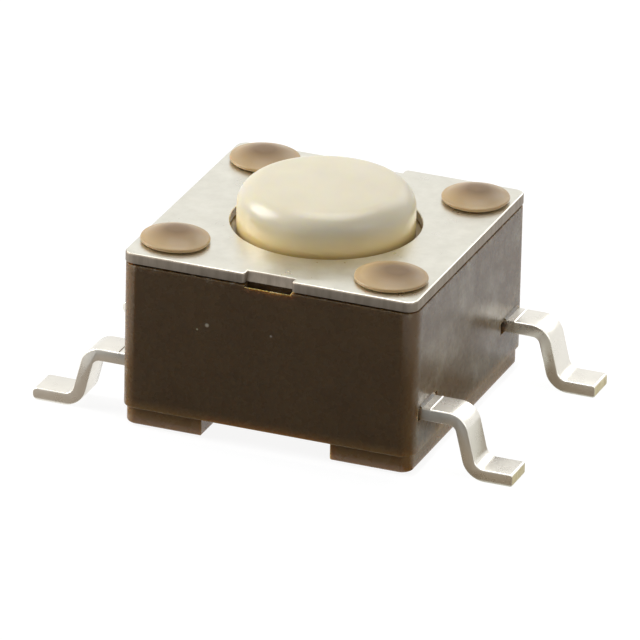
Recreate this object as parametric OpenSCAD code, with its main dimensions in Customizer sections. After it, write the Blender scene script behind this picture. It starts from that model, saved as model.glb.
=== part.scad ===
// Tactile push button switch, surface mounted, with four gull-wing terminals.
// The origin is on the circuit board, under the middle of the housing.
// +X runs along the terminals and +Z is up. All sizes are in millimetres.

/* [Housing] */
// Width and depth of the square housing
body_w = 6; // [5.7:0.1:6.4]
// Height of the housing, from its rails' undersides to the cover's seat
housing_h = 3.37; // [3.2:0.01:3.8]
// Radius of the housing's upright edges
corner_r = 0.3; // [0.1:0.05:0.35]
// Gap between the rails and the circuit board
rail_gap = 0.03; // [0.02:0.01:0.1]
// Height of the two rails under the housing
rail_h = 0.36; // [0.25:0.01:0.5]
// How far the rails stand back from the housing's sides
rail_inset = 0.06; // [0.02:0.01:0.12]
// Width of the open channel between the rails
channel_w = 2.64; // [2:0.01:3.2]
// Thinnest wall round the pocket that holds the contacts
pocket_wall = 0.55; // [0.45:0.05:0.65]

/* [Cover plate] */
// Thickness of the cover's sheet
cover_t = 0.2; // [0.15:0.01:0.3]
// How far the cover stands back from the housing's sides
cover_inset = 0.01; // [0:0.01:0.1]
// Width of the cover's metal between its edge and the button's hole
cover_frame = 1.14; // [1.08:0.01:1.4]
// Radius of the cover's corners, seen from above
cover_corner_r = 0.25; // [0.1:0.05:0.4]
// Radius that the press tool leaves on the cover's upper edges
cover_edge_r = 0.04; // [0.02:0.01:0.1]
// Width of the notches where the carrier strip was cut away
notch_w = 0.95; // [0.6:0.05:1.4]
// Depth of those notches
notch_d = 0.18; // [0.1:0.01:0.25]
// Radius of the notches' outer corners
notch_r = 0.08; // [0.04:0.01:0.15]
// Height of the thin seam that shows under the cover's edge
seam_h = 0.04; // [0.02:0.01:0.06]
// Depth of that seam from the housing's sides
seam_d = 0.1; // [0.05:0.01:0.15]
// Height of the recess in the housing under each notch
recess_h = 0.07; // [0.03:0.01:0.1]
// How far that recess's floor falls on its way in
recess_fall = 0.1; // [0.02:0.01:0.15]

/* [Staked posts] */
// Distance from the housing's sides to a post's centre
post_inset = 0.8; // [0.78:0.01:0.9]
// Diameter of a post where it passes through the cover
post_d = 0.7; // [0.5:0.05:0.8]
// Diameter of a post's staked head
head_d = 1.4; // [1.1:0.05:1.45]
// Height of the upright rim of a head
head_rim = 0.07; // [0.03:0.01:0.1]
// Height of the dome above that rim
head_rise = 0.2; // [0.08:0.01:0.25]

/* [Button] */
// Height of the button's top above the cover
button_stand = 0.83; // [0.6:0.01:2]
// Radius of the button's upper edge
button_edge_r = 0.45; // [0.2:0.05:0.5]
// Radius of the slight crown on the button's top
button_crown_r = 16; // [10:1:40]
// Thickness of the flange under the cover
flange_t = 0.6; // [0.4:0.05:0.8]
// Diameter of the nub that presses the contacts
nub_d = 1.5; // [1:0.1:2]
// How far the button travels
travel = 0.25; // [0.15:0.01:0.3]

/* [Contact dome and seal] */
// Width of the ledge that carries the seal's rim
ledge_w = 0.35; // [0.3:0.01:0.4]
// How much is trimmed off each of the snap dome's four sides
dome_trim = 0.35; // [0.3:0.01:0.45]
// Height of the snap dome's crown above its feet
dome_rise = 0.4; // [0.36:0.01:0.5]
// Thickness of the snap dome's sheet
dome_t = 0.06; // [0.04:0.01:0.06]
// Thickness of the rubber seal over the dome
seal_t = 0.12; // [0.08:0.01:0.2]
// Height of the ledge that carries the seal's rim
ledge_h = 0.12; // [0.08:0.01:0.16]

/* [Terminals] */
// Thickness of the terminals' strip
lead_t = 0.25; // [0.2:0.01:0.3]
// Width of a terminal
lead_w = 0.7; // [0.5:0.05:0.8]
// Height of the terminals' underside where they leave the housing
lead_z = 1.05; // [0.9:0.01:1.2]
// Distance from the housing's front or back to a terminal's centre
lead_inset = 0.75; // [0.7:0.01:0.9]
// How far the leg stands out from the housing, at its top
leg_reach = 0.8; // [0.7:0.05:1.2]
// How much further out the leg's lower end stands
leg_lean = 0.26; // [0.05:0.01:0.4]
// Length of a foot, from the leg to the tip
foot_l = 0.84; // [0.6:0.01:1.2]
// Inside radius of the upper bend
upper_bend_r = 0.15; // [0.08:0.01:0.2]
// Inside radius of the lower bend
lower_bend_r = 0.2; // [0.08:0.01:0.25]
// Radius left on a foot's cut end
tip_r = 0.05; // [0.02:0.01:0.1]
// Width of the contact strips inside the housing
contact_w = 0.8; // [0.6:0.05:1]
// Diameter of the raised centre contact
pip_d = 0.6; // [0.4:0.05:0.7]

/* [Terminal roots] */
// Width of the slot beside each side of a terminal
slot_side = 0.2; // [0.1:0.01:0.25]
// Depth of that slot in the housing's wall
slot_depth = 0.25; // [0.1:0.01:0.3]
// How far the moulded lip runs out along a terminal
lip_l = 0.08; // [0.05:0.01:0.2]
// Height of the lip at the housing's wall
lip_h = 0.05; // [0.03:0.01:0.12]
// Height of the lip at its thin outer edge
lip_edge_h = 0.01; // [0.01:0.01:0.03]

/* [Clearances] */
// Gap all round the button in the cover's hole
button_gap = 0.125; // [0.08:0.005:0.2]
// Gap all round the button's flange in the pocket
flange_gap = 0.1; // [0.05:0.01:0.15]
// Gap between the flange and the underside of the cover
stop_gap = 0.02; // [0.01:0.01:0.05]
// Gap all round a post in the cover's hole
post_gap = 0.05; // [0.02:0.01:0.1]
// Gap between the snap dome and the seal above it
seal_gap = 0.02; // [0.01:0.01:0.04]
// Gap between the seal and the button's nub
nub_gap = 0.01; // [0.01:0.01:0.03]
// Gap all round the snap dome and all round the seal's rim
seat_gap = 0.05; // [0.03:0.01:0.1]

/* [Hidden] */
$fn = 64;

// How far a cutting shape runs past the face that it opens
cut = 0.1;
// How far a joined shape runs into the shape that carries it
overlap = 0.05;
// Facets in the arc of one bend
bend_steps = 10;
// Direction of the snap dome's feet, from the X axis
foot_turn = 45;

// Levels above the circuit board
rail_z = rail_gap;
base_z = rail_z + rail_h;
seat_z = rail_z + housing_h;
cover_top_z = seat_z + cover_t;
button_top_z = cover_top_z + button_stand;
lead_top_z = lead_z + lead_t;
floor_z = lead_top_z;
ledge_z = floor_z + ledge_h;
crown_z = floor_z + dome_rise;
seal_top_z = crown_z + seal_gap + seal_t;
nub_z = seal_top_z + nub_gap;
flange_top_z = seat_z - stop_gap;
pip_h = dome_rise - dome_t - travel;

// Places and sizes seen from above
body_x = body_w / 2;
rail_w = body_w - 2 * rail_inset;
cover_w = body_w - 2 * cover_inset;
post_x = body_x - post_inset;
lead_y = body_x - lead_inset;
pocket_r = body_x - pocket_wall;
dome_seat_r = pocket_r - ledge_w;
dome_r = dome_seat_r - seat_gap;
dome_flat_w = 2 * (dome_r - dome_trim);
seal_r = pocket_r - seat_gap;
flange_r = pocket_r - flange_gap;
cover_hole_r = cover_w / 2 - cover_frame;
button_r = cover_hole_r - button_gap;
recess_d = cover_inset + notch_d;

// Radius of the sphere that has a cap of the given base radius and rise
function cap_radius(base, rise) = (base * base + rise * rise) / (2 * rise);

dome_sphere_r = cap_radius(dome_r, dome_rise);
dome_centre_z = crown_z - dome_sphere_r;
seal_sphere_r = dome_sphere_r + seal_gap;
seal_arch_r = sqrt(pow(seal_sphere_r, 2) - pow(ledge_z - dome_centre_z, 2));
head_sphere_r = cap_radius(head_d / 2, head_rise);

// Centre of the circle that rounds the button's edge and runs smoothly into its crown
crown_centre_z = button_top_z - button_crown_r;
edge_x = button_r - button_edge_r;
edge_z = crown_centre_z + sqrt(pow(button_crown_r - button_edge_r, 2) - pow(edge_x, 2));

// Side outline of a gull-wing terminal, with the housing at x = 0
leg_top_z = lead_z + lead_t / 2;
leg_slope = leg_lean / lead_z;
leg_half = lead_t / 2 * sqrt(1 + leg_slope * leg_slope);
tip_x = leg_reach + leg_lean + foot_l;

// Where the leg's outer face (side 1) or inner face (side -1) is at height z
function leg_x(z, side) = leg_reach + (leg_top_z - z) * leg_slope + side * leg_half;

function unit(v) = v / norm(v);

// Points of the arc that rounds corner b of the outline a, b, c
function corner_arc(a, b, c, r) =
    let (to_a = unit(a - b),
         to_c = unit(c - b),
         half = acos(to_a * to_c) / 2,
         centre = b + unit(to_a + to_c) * r / sin(half),
         arm = b + to_a * r / tan(half) - centre,
         turn = (180 - 2 * half) * sign(cross(to_c, to_a)))
    [for (i = [0 : bend_steps])
        let (t = turn * i / bend_steps)
        centre + [arm.x * cos(t) - arm.y * sin(t), arm.x * sin(t) + arm.y * cos(t)]];

// Outline of points given as [corner, radius], where radius 0 leaves it sharp
function rounded(corners) =
    let (n = len(corners))
    [for (i = [0 : n - 1])
        let (before = corners[(i + n - 1) % n][0],
             here = corners[i][0],
             after = corners[(i + 1) % n][0],
             r = corners[i][1])
        each (r == 0 ? [here] : corner_arc(before, here, after, r))];

terminal_outline = rounded([
    [[-slot_depth - overlap, lead_z], 0],
    [[-slot_depth - overlap, lead_top_z], 0],
    [[leg_x(lead_top_z, 1), lead_top_z], upper_bend_r + lead_t],
    [[leg_x(lead_t, 1), lead_t], lower_bend_r],
    [[tip_x, lead_t], tip_r],
    [[tip_x, 0], tip_r],
    [[leg_x(0, -1), 0], lower_bend_r + lead_t],
    [[leg_x(lead_z, -1), lead_z], upper_bend_r]
]);

// Square of width w with corners of radius r, centred on the origin
module rounded_square(w, r) {
    square([w, w - 2 * r], center = true);
    square([w - 2 * r, w], center = true);
    for (x = [-1, 1], y = [-1, 1])
        translate([x * (w / 2 - r), y * (w / 2 - r)]) circle(r);
}

// Flat ring between two radii, standing on z = 0
module ring(outer_r, inner_r, h) {
    difference() {
        cylinder(r = outer_r, h = h);
        translate([0, 0, -cut]) cylinder(r = inner_r, h = h + 2 * cut);
    }
}

// Cap of a spherical shell: its centre is at height centre_z, and its rim at height rim_z
module shell_cap(outer_sphere_r, sheet_t, centre_z, rim_z) {
    translate([0, 0, centre_z])
        rotate_extrude()
            intersection() {
                difference() {
                    circle(outer_sphere_r, $fn = 4 * $fn);
                    circle(outer_sphere_r - sheet_t, $fn = 4 * $fn);
                }
                translate([0, rim_z - centre_z]) square(outer_sphere_r);
            }
}

// Upright side view of the cover: its two upper edges are rounded
module cover_section() {
    translate([-cover_w / 2, 0]) square([cover_w, cover_t - cover_edge_r]);
    translate([-cover_w / 2 + cover_edge_r, 0]) square([cover_w - 2 * cover_edge_r, cover_t]);
    for (side = [-1, 1])
        translate([side * (cover_w / 2 - cover_edge_r), cover_t - cover_edge_r]) circle(cover_edge_r);
}

// Plan of one carrier notch in an edge at y = 0: it opens towards -Y, and its outer corners are round
module notch_plan() {
    translate([-notch_w / 2, -cut]) square([notch_w, notch_d + cut]);
    for (side = [-1, 1])
        difference() {
            translate([side * (notch_w + notch_r) / 2, (notch_r - cut) / 2])
                square([notch_r, notch_r + cut], center = true);
            translate([side * (notch_w / 2 + notch_r), notch_r]) circle(notch_r);
        }
}

// Places the children at each of the four posts
module at_posts() {
    for (x = [-1, 1], y = [-1, 1]) translate([x * post_x, y * post_x]) children();
}

// Places the children at the terminals of the given rows (-1 front, 1 back), +X leading outwards
module at_roots(rows = [-1, 1]) {
    for (x = [-1, 1], y = rows)
        translate([x * body_x, y * lead_y]) mirror([x < 0 ? 1 : 0, 0, 0]) children();
}

// A post that passes through the cover, with the head that heat and pressure have formed on it
module staked_post() {
    translate([0, 0, seat_z - overlap]) cylinder(d = post_d, h = overlap + cover_t + head_rim + head_rise / 2);
    translate([0, 0, cover_top_z]) cylinder(d = head_d, h = head_rim);
    translate([0, 0, cover_top_z + head_rim + head_rise - head_sphere_r])
        rotate_extrude()
            intersection() {
                circle(head_sphere_r, $fn = 2 * $fn);
                translate([0, head_sphere_r - head_rise]) square([head_d / 2, head_rise]);
            }
}

// The moulded lip that lies on a terminal where it leaves the wall
module root_lip() {
    translate([0, lead_w / 2, lead_top_z])
        rotate([90, 0, 0])
            linear_extrude(lead_w)
                polygon([[-overlap, 0], [lip_l, 0], [lip_l, lip_edge_h], [0, lip_h], [-overlap, lip_h]]);
}

// The slot that the mould leaves round a terminal in the wall
module root_slot() {
    translate([-slot_depth, -lead_w / 2 - slot_side, lead_z])
        cube([slot_depth + cut, lead_w + 2 * slot_side, lead_t]);
}

// Flat part of the front lead: a strip from side to side, with two pads under the dome's front feet
module front_strip() {
    foot = dome_r * cos(foot_turn);
    translate([0, -lead_y]) square([body_w - 2 * slot_depth, lead_w], center = true);
    for (x = [-1, 1])
        translate([x * foot - contact_w / 2, -lead_y]) square([contact_w, lead_y - foot + contact_w / 2]);
}

// Flat part of the back lead: a strip from side to side, with a tongue to the centre contact
module back_strip() {
    translate([0, lead_y]) square([body_w - 2 * slot_depth, lead_w], center = true);
    translate([-contact_w / 2, 0]) square([contact_w, lead_y]);
    circle(d = contact_w);
}

// The recess in the housing's edge under a notch: it opens towards -Y, and its floor falls the other way
module notch_recess() {
    floor_end = -recess_h - recess_fall;
    rotate([90, 0, 90])
        linear_extrude(notch_w, center = true)
            polygon([[-cut, cut], [recess_d, cut], [recess_d, floor_end], [0, -recess_h], [-cut, -recess_h]]);
}

// A lead's flat part at its own height
module strip_sheet() {
    translate([0, 0, lead_z]) linear_extrude(lead_t) children();
}

// A gull-wing terminal, from its slot in the wall to its foot on the board
module gull_wing() {
    translate([0, lead_w / 2, 0]) rotate([90, 0, 0]) linear_extrude(lead_w) polygon(terminal_outline);
}

module housing() {
    color([0.23, 0.17, 0.12]) {
        difference() {
            union() {
                translate([0, 0, base_z])
                    linear_extrude(seat_z - seam_h - base_z) rounded_square(body_w, corner_r);
                translate([0, 0, base_z])
                    linear_extrude(seat_z - base_z) rounded_square(body_w - 2 * seam_d, corner_r);
                translate([0, 0, rail_z])
                    linear_extrude(rail_h + overlap) rounded_square(rail_w, corner_r);
                at_roots() root_lip();
            }
            translate([-channel_w / 2, -body_w / 2 - cut, rail_z - cut])
                cube([channel_w, body_w + 2 * cut, rail_h + cut]);
            translate([0, 0, ledge_z]) cylinder(r = pocket_r, h = housing_h);
            translate([0, 0, floor_z]) cylinder(r = dome_seat_r, h = housing_h);
            at_roots() root_slot();
            strip_sheet() front_strip();
            strip_sheet() back_strip();
            for (turn = [0, 180]) rotate([0, 0, turn]) translate([0, -body_x, seat_z]) notch_recess();
        }
        at_posts() staked_post();
    }
}

module cover_plate() {
    color([0.86, 0.86, 0.83])
        translate([0, 0, seat_z])
            difference() {
                intersection() {
                    linear_extrude(cover_t) rounded_square(cover_w, cover_corner_r);
                    translate([0, cover_w / 2, 0]) rotate([90, 0, 0]) linear_extrude(cover_w) cover_section();
                    translate([-cover_w / 2, 0, 0])
                        rotate([90, 0, 90]) linear_extrude(cover_w) cover_section();
                }
                translate([0, 0, -cut]) cylinder(r = cover_hole_r, h = cover_t + 2 * cut);
                at_posts() translate([0, 0, -cut]) cylinder(d = post_d + 2 * post_gap, h = cover_t + 2 * cut);
                for (turn = [0, 180])
                    rotate([0, 0, turn])
                        translate([0, -cover_w / 2, -cut]) linear_extrude(cover_t + 2 * cut) notch_plan();
            }
}

// Half section of the button above its flange, with the axis at x = 0
module button_section() {
    translate([0, flange_top_z]) square([button_r, edge_z - flange_top_z]);
    intersection() {
        translate([edge_x, edge_z]) circle(button_edge_r);
        translate([0, edge_z - button_edge_r]) square(button_r + 2 * button_edge_r);
    }
    intersection() {
        translate([0, crown_centre_z]) circle(button_crown_r, $fn = 8 * $fn);
        polygon([[0, flange_top_z], [edge_x, edge_z], [edge_x * (1 + button_edge_r / (edge_z - crown_centre_z)),
                 edge_z + button_edge_r], [0, edge_z + button_edge_r + cut]]);
    }
}

module button() {
    color([0.91, 0.88, 0.77]) {
        rotate_extrude() button_section();
        translate([0, 0, flange_top_z - flange_t]) cylinder(r = flange_r, h = flange_t);
        translate([0, 0, nub_z]) cylinder(d = nub_d, h = flange_top_z - nub_z);
    }
}

module seal_sheet() {
    color([0.12, 0.12, 0.13]) {
        shell_cap(seal_sphere_r + seal_t, seal_t, dome_centre_z, ledge_z);
        translate([0, 0, ledge_z]) ring(seal_r, seal_arch_r, seal_t);
    }
}

module snap_dome() {
    color([0.75, 0.75, 0.73])
        intersection() {
            shell_cap(dome_sphere_r, dome_t, dome_centre_z, floor_z);
            translate([-dome_flat_w / 2, -dome_flat_w / 2, floor_z - cut])
                cube([dome_flat_w, dome_flat_w, dome_rise + 2 * cut]);
        }
}

module front_lead() {
    color([0.84, 0.83, 0.79]) {
        strip_sheet() front_strip();
        at_roots([-1]) gull_wing();
    }
}

module back_lead() {
    color([0.84, 0.83, 0.79]) {
        strip_sheet() back_strip();
        at_roots([1]) gull_wing();
        translate([0, 0, lead_top_z - overlap]) cylinder(d = pip_d, h = pip_h + overlap);
    }
}

housing();
cover_plate();
button();
seal_sheet();
snap_dome();
front_lead();
back_lead();
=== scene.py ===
# %% [markdown]
# A tactile push button switch, six millimetres square, seen close up.
# The real one has a dark moulded housing, a pale metal cover held by four plastic
# heads, a cream button and four gull-wing terminals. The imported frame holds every
# piece at its real size, so each piece here is drawn round it and takes its place.

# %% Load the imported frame
import math
import bmesh
import bpy
from mathutils import Matrix, Vector


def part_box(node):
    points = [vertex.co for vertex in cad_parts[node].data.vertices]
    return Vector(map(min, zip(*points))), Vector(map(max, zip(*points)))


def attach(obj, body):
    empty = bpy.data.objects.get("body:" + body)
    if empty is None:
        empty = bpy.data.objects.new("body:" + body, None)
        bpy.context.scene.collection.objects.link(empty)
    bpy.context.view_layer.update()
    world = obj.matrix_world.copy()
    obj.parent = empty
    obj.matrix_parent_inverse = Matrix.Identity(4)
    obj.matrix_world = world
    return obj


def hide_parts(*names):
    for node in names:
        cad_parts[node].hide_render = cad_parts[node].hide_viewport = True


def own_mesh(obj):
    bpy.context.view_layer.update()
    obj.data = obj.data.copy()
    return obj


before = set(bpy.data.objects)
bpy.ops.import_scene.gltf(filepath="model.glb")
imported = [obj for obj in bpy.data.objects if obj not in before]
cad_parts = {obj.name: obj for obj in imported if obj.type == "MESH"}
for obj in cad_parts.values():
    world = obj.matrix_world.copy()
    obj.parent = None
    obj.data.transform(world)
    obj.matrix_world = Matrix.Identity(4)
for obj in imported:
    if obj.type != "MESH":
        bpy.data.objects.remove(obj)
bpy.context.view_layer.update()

# %% [markdown]
# The photograph was taken with a long lens from the front right, a little above.
# A camera could be placed by eye, but the housing's three sets of parallel edges fix
# the direction, the distance and the slight roll, so these were solved from them.
# The lens is given for a sensor 36 mm wide, which is Blender's own.

# %% The camera
MM = 0.001
VIEW_TURN = math.radians(21.161)
VIEW_RISE = math.radians(23.878)
VIEW_ROLL = math.radians(1.32)
VIEW_DISTANCE = 200
VIEW_TARGET = Vector((0, 0, 1.53))
VIEW_SHIFT_RIGHT = 0.075
VIEW_SHIFT_UP = 0.007
LENS = 584.76
SENSOR_W = 36

back = Vector((
    math.sin(VIEW_TURN) * math.cos(VIEW_RISE),
    -math.cos(VIEW_TURN) * math.cos(VIEW_RISE),
    math.sin(VIEW_RISE),
))
level_right = Vector((math.cos(VIEW_TURN), math.sin(VIEW_TURN), 0))
level_up = back.cross(level_right)
right = math.cos(VIEW_ROLL) * level_right + math.sin(VIEW_ROLL) * level_up
up = math.cos(VIEW_ROLL) * level_up - math.sin(VIEW_ROLL) * level_right
eye = VIEW_TARGET - right * VIEW_SHIFT_RIGHT - up * VIEW_SHIFT_UP + back * VIEW_DISTANCE

camera = bpy.data.objects.new("camera", bpy.data.cameras.new("camera"))
bpy.context.scene.collection.objects.link(camera)
camera.data.lens = LENS
camera.data.sensor_width = SENSOR_W
camera.data.clip_start = 0.01
camera.data.clip_end = 5
camera.matrix_world = Matrix.Translation(eye * MM) @ Matrix((right, up, back)).transposed().to_4x4()
bpy.context.scene.camera = camera
print("camera at", [round(x, 2) for x in eye], "mm")

# %% [markdown]
# Everything is drawn in millimetres and made metres at the very end, because the
# operators round and merge by distances that suit a drawing of this size.
# A few helpers do what a modeller's hands do: take a bmesh to an object, round an
# edge, cut a line across some faces, and turn an outline on a lathe.

# %% From a drawing in millimetres to an object in metres
WELD = 0.0005
FACING = 0.99
SHARP_FROM = math.radians(32)


def show(name, bm):
    """Makes the finished drawing an object at the origin, smooth but for its sharp edges."""
    bmesh.ops.recalc_face_normals(bm, faces=bm.faces)
    bmesh.ops.scale(bm, vec=(MM, MM, MM), verts=bm.verts)
    mesh = bpy.data.meshes.new(name)
    bm.to_mesh(mesh)
    bm.free()
    mesh.shade_smooth()
    mesh.set_sharp_from_angle(angle=SHARP_FROM)
    made = bpy.data.objects.new(name, mesh)
    bpy.context.scene.collection.objects.link(made)
    weights = made.modifiers.new("even_shading", "WEIGHTED_NORMAL")
    weights.keep_sharp = True
    print(name, "has", len(mesh.polygons), "faces")
    return made


# %% Rounding, cutting and extruding
def round_edges(bm, edges, radius, segments):
    """Rounds edges between faces that meet at a right angle."""
    bmesh.ops.bevel(bm, geom=edges, offset=radius, offset_type="OFFSET", segments=segments,
                    profile=0.5, affect="EDGES", material=-1)


def cut(bm, faces, point, direction):
    """Cuts a line across some faces where a plane passes through them.
    Edges and corners that faces share are listed once, always in the same order."""
    edges = dict.fromkeys(edge for face in faces for edge in face.edges)
    verts = dict.fromkeys(vert for face in faces for vert in face.verts)
    bmesh.ops.bisect_plane(bm, geom=[*verts, *edges, *faces], dist=WELD,
                           plane_co=point, plane_no=direction)


def push_out(bm, faces, step, keep=False):
    """Extrudes faces as one region by a step, and returns the new faces.
    The old faces stay only where they close the far side, as on a sheet that gets its thickness."""
    made = bmesh.ops.extrude_face_region(bm, geom=faces)["geom"]
    verts = [item for item in made if isinstance(item, bmesh.types.BMVert)]
    bmesh.ops.translate(bm, vec=step, verts=verts)
    if not keep:
        bmesh.ops.delete(bm, geom=faces, context="FACES")
    return [item for item in made if isinstance(item, bmesh.types.BMFace)]


def ring_of_edges(bm, radius, height, centre=(0, 0), segments=96):
    """Draws a circle of edges and returns them."""
    place = Matrix.Translation((centre[0], centre[1], height))
    made = bmesh.ops.create_circle(bm, cap_ends=False, radius=radius, segments=segments, matrix=place)
    return list(dict.fromkeys(edge for vert in made["verts"] for edge in vert.link_edges))


# %% An arc, and an outline turned on a lathe
def arc(centre, radius, start, end, steps):
    """Points (across, up) on a round stretch, from one angle to another in degrees."""
    points = []
    for step in range(steps + 1):
        turn = math.radians(start + (end - start) * step / steps)
        points.append((centre[0] + radius * math.cos(turn), centre[1] + radius * math.sin(turn)))
    return points


def turned(profile, steps):
    """Spins an outline of (radius, height) points round Z. It starts and ends on the axis."""
    bm = bmesh.new()
    verts = [bm.verts.new((radius, 0, height)) for radius, height in profile]
    edges = [bm.edges.new(pair) for pair in zip(verts, verts[1:])]
    bmesh.ops.spin(bm, geom=verts + edges, cent=(0, 0, 0), axis=(0, 0, 1), angle=math.tau,
                   steps=steps, use_merge=True)
    bmesh.ops.remove_doubles(bm, verts=bm.verts, dist=WELD)
    bmesh.ops.recalc_face_normals(bm, faces=bm.faces)
    return bm


# %% Joining two closed shapes, or cutting one out of the other
def combined(bm, other, operation):
    """Returns bm with the other shape joined on (UNION) or cut out (DIFFERENCE)."""
    holders = []
    for shape in (bm, other):
        mesh = bpy.data.meshes.new("drawing")
        shape.to_mesh(mesh)
        holder = bpy.data.objects.new("drawing", mesh)
        bpy.context.scene.collection.objects.link(holder)
        holders.append(holder)
    boolean = holders[0].modifiers.new("combine", "BOOLEAN")
    boolean.object = holders[1]
    boolean.operation = operation
    boolean.solver = "EXACT"
    seen = holders[0].evaluated_get(bpy.context.evaluated_depsgraph_get())
    bm.clear()
    bm.from_mesh(seen.to_mesh())
    for holder in holders:
        mesh = holder.data
        bpy.data.objects.remove(holder)
        bpy.data.meshes.remove(mesh)
    return bm


# %% [markdown]
# The sizes come first, as on a drawing. The cover's width, the reach of the feet and
# the levels of cover, button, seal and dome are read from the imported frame. The rest
# are the real switch's own: thicknesses, radii and the places of the terminals.

# %% Sizes, in millimetres
def frame_box(node):
    """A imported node's lowest and highest corners, in millimetres."""
    low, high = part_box(node)
    return low / MM, high / MM


cover_low, cover_high = frame_box("cover_plate")
button_low, button_high = frame_box("button")
lead_high = frame_box("front_lead")[1]
seal_low, seal_high = frame_box("seal_sheet")
dome_low, dome_high = frame_box("snap_dome")

BODY_W = 6.0
BODY_X = BODY_W / 2
RAIL_Z = 0.03
RAIL_H = 0.36
BASE_Z = RAIL_Z + RAIL_H
SEAT_Z = cover_low.z
COVER_TOP_Z = cover_high.z
LEAD_T = 0.25
LEAD_Z = 1.05
LEAD_TOP_Z = LEAD_Z + LEAD_T
FLOOR_Z = LEAD_TOP_Z
LEDGE_Z = seal_low.z
POCKET_R = 2.45
DOME_SEAT_R = 2.1
DOME_R = 2.05
LEAD_Y = 2.25
LEAD_W = 0.7
NOTCH_W = 0.95
NOTCH_D = 0.18
RECESS_D = 0.19
RECESS_H = 0.07
RECESS_FALL = 0.1
print("housing", BODY_W, "mm wide, cover from", round(SEAT_Z, 3), "to", round(COVER_TOP_Z, 3))

# %% [markdown]
# The housing is one moulding: a square block on two low rails, with an open channel
# between them, a stepped pocket for the contacts, and a slot round each terminal
# with a small wedge of plastic left on the metal. A cube is the natural start,
# because most of these are then a cut line and an extrusion, and the upright edges
# are rounded while the block is still simple. The terminals' strips lie in the
# floor, and cutting them out leaves the exact seats that the moulding has.

# %% The block on its rails
CORNER_R = 0.3
RAIL_INSET = 0.06
CHANNEL_W = 2.64
SOFT_EDGE = 0.06
BASE_EDGE = 0.025
SEAM_H = 0.04
SEAM_D = 0.1
SEAM_EDGE = 0.02
SHOULDER_Z = SEAT_Z - SEAM_H
LARGE_FACE = 2


def block_on_rails():
    bm = bmesh.new()
    bmesh.ops.create_cube(bm, size=1)
    bmesh.ops.scale(bm, vec=(BODY_W, BODY_W, SHOULDER_Z - BASE_Z), verts=bm.verts)
    bmesh.ops.translate(bm, vec=(0, 0, (SHOULDER_Z + BASE_Z) / 2), verts=bm.verts)
    upright = [e for e in bm.edges if abs(e.verts[0].co.z - e.verts[1].co.z) > WELD]
    round_edges(bm, upright, CORNER_R, 8)
    bottom = min(bm.faces, key=lambda face: face.calc_center_median().z)
    round_edges(bm, list(bottom.edges), BASE_EDGE, 4)
    bottom = min(bm.faces, key=lambda face: face.calc_center_median().z)
    bmesh.ops.inset_region(bm, faces=[bottom], thickness=RAIL_INSET - BASE_EDGE, use_even_offset=True)
    inside = [bottom]
    for side in (-1, 1):
        cut(bm, inside, (side * CHANNEL_W / 2, 0, 0), (1, 0, 0))
        inside = [face for face in bm.faces if face.normal.z < -FACING and face.calc_area() > LARGE_FACE]
    rails = [face for face in inside if abs(face.calc_center_median().x) > CHANNEL_W / 2]
    push_out(bm, rails, (0, 0, -RAIL_H))
    at_bottom = [e for e in bm.edges if all(v.co.z < RAIL_Z + WELD for v in e.verts)]
    round_edges(bm, at_bottom, SOFT_EDGE, 4)
    top = max(bm.faces, key=lambda face: face.calc_center_median().z)
    at_top = list(top.edges)
    bmesh.ops.inset_region(bm, faces=[top], thickness=SEAM_D, use_even_offset=True)
    push_out(bm, [top], (0, 0, SEAM_H))
    round_edges(bm, at_top, SEAM_EDGE, 2)
    return bm


def notch_recess(side):
    """The recess in the housing's edge under a notch of the cover. Its floor falls inwards."""
    bm = bmesh.new()
    bmesh.ops.create_cube(bm, size=1)
    bmesh.ops.scale(bm, vec=(NOTCH_W, 2 * RECESS_D, RECESS_D), verts=bm.verts)
    bmesh.ops.translate(bm, vec=(0, side * BODY_X, SEAT_Z - RECESS_H + RECESS_D / 2), verts=bm.verts)
    for vert in bm.verts:
        if vert.co.z < SEAT_Z:
            vert.co.z -= RECESS_FALL * (BODY_X - abs(vert.co.y)) / RECESS_D
    return bm


# %% The terminals' slots and lips in its walls
SLOT_SIDE = 0.2
SLOT_DEPTH = 0.25
LIP_L = 0.045
LIP_H = 0.05
LIP_EDGE_H = 0.01


def wall_faces(bm, side):
    """The flat faces of the housing's wall on one side along X."""
    return [f for f in bm.faces if f.normal.x * side > FACING
            and abs(f.calc_center_median().x - side * BODY_X) < WELD]


def within(face, y_low, y_high, z_low, z_high):
    middle = face.calc_center_median()
    return y_low < abs(middle.y) < y_high and z_low < middle.z < z_high


def terminal_roots(bm):
    slot_y = LEAD_Y - LEAD_W / 2 - SLOT_SIDE
    for side in (-1, 1):
        for y in (slot_y, LEAD_Y - LEAD_W / 2, LEAD_Y + LEAD_W / 2):
            for row in (-1, 1):
                cut(bm, wall_faces(bm, side), (0, row * y, 0), (0, 1, 0))
        for z in (LEAD_Z, LEAD_TOP_Z, LEAD_TOP_Z + LIP_H):
            cut(bm, wall_faces(bm, side), (0, 0, z), (0, 0, 1))
        for row in (-1, 1):
            mine = [f for f in wall_faces(bm, side) if f.calc_center_median().y * row > 0]
            slot = [f for f in mine if within(f, slot_y, BODY_X, LEAD_Z, LEAD_TOP_Z)]
            push_out(bm, slot, (-side * SLOT_DEPTH, 0, 0))
            lip = [f for f in mine if f.is_valid and within(
                f, LEAD_Y - LEAD_W / 2, LEAD_Y + LEAD_W / 2, LEAD_TOP_Z, LEAD_TOP_Z + LIP_H)]
            outer = push_out(bm, lip, (side * LIP_L, 0, 0))
            for vert in {v for face in outer for v in face.verts}:
                if vert.co.z > LEAD_TOP_Z + LIP_EDGE_H:
                    vert.co.z = LEAD_TOP_Z + LIP_EDGE_H
    return bm


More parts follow.
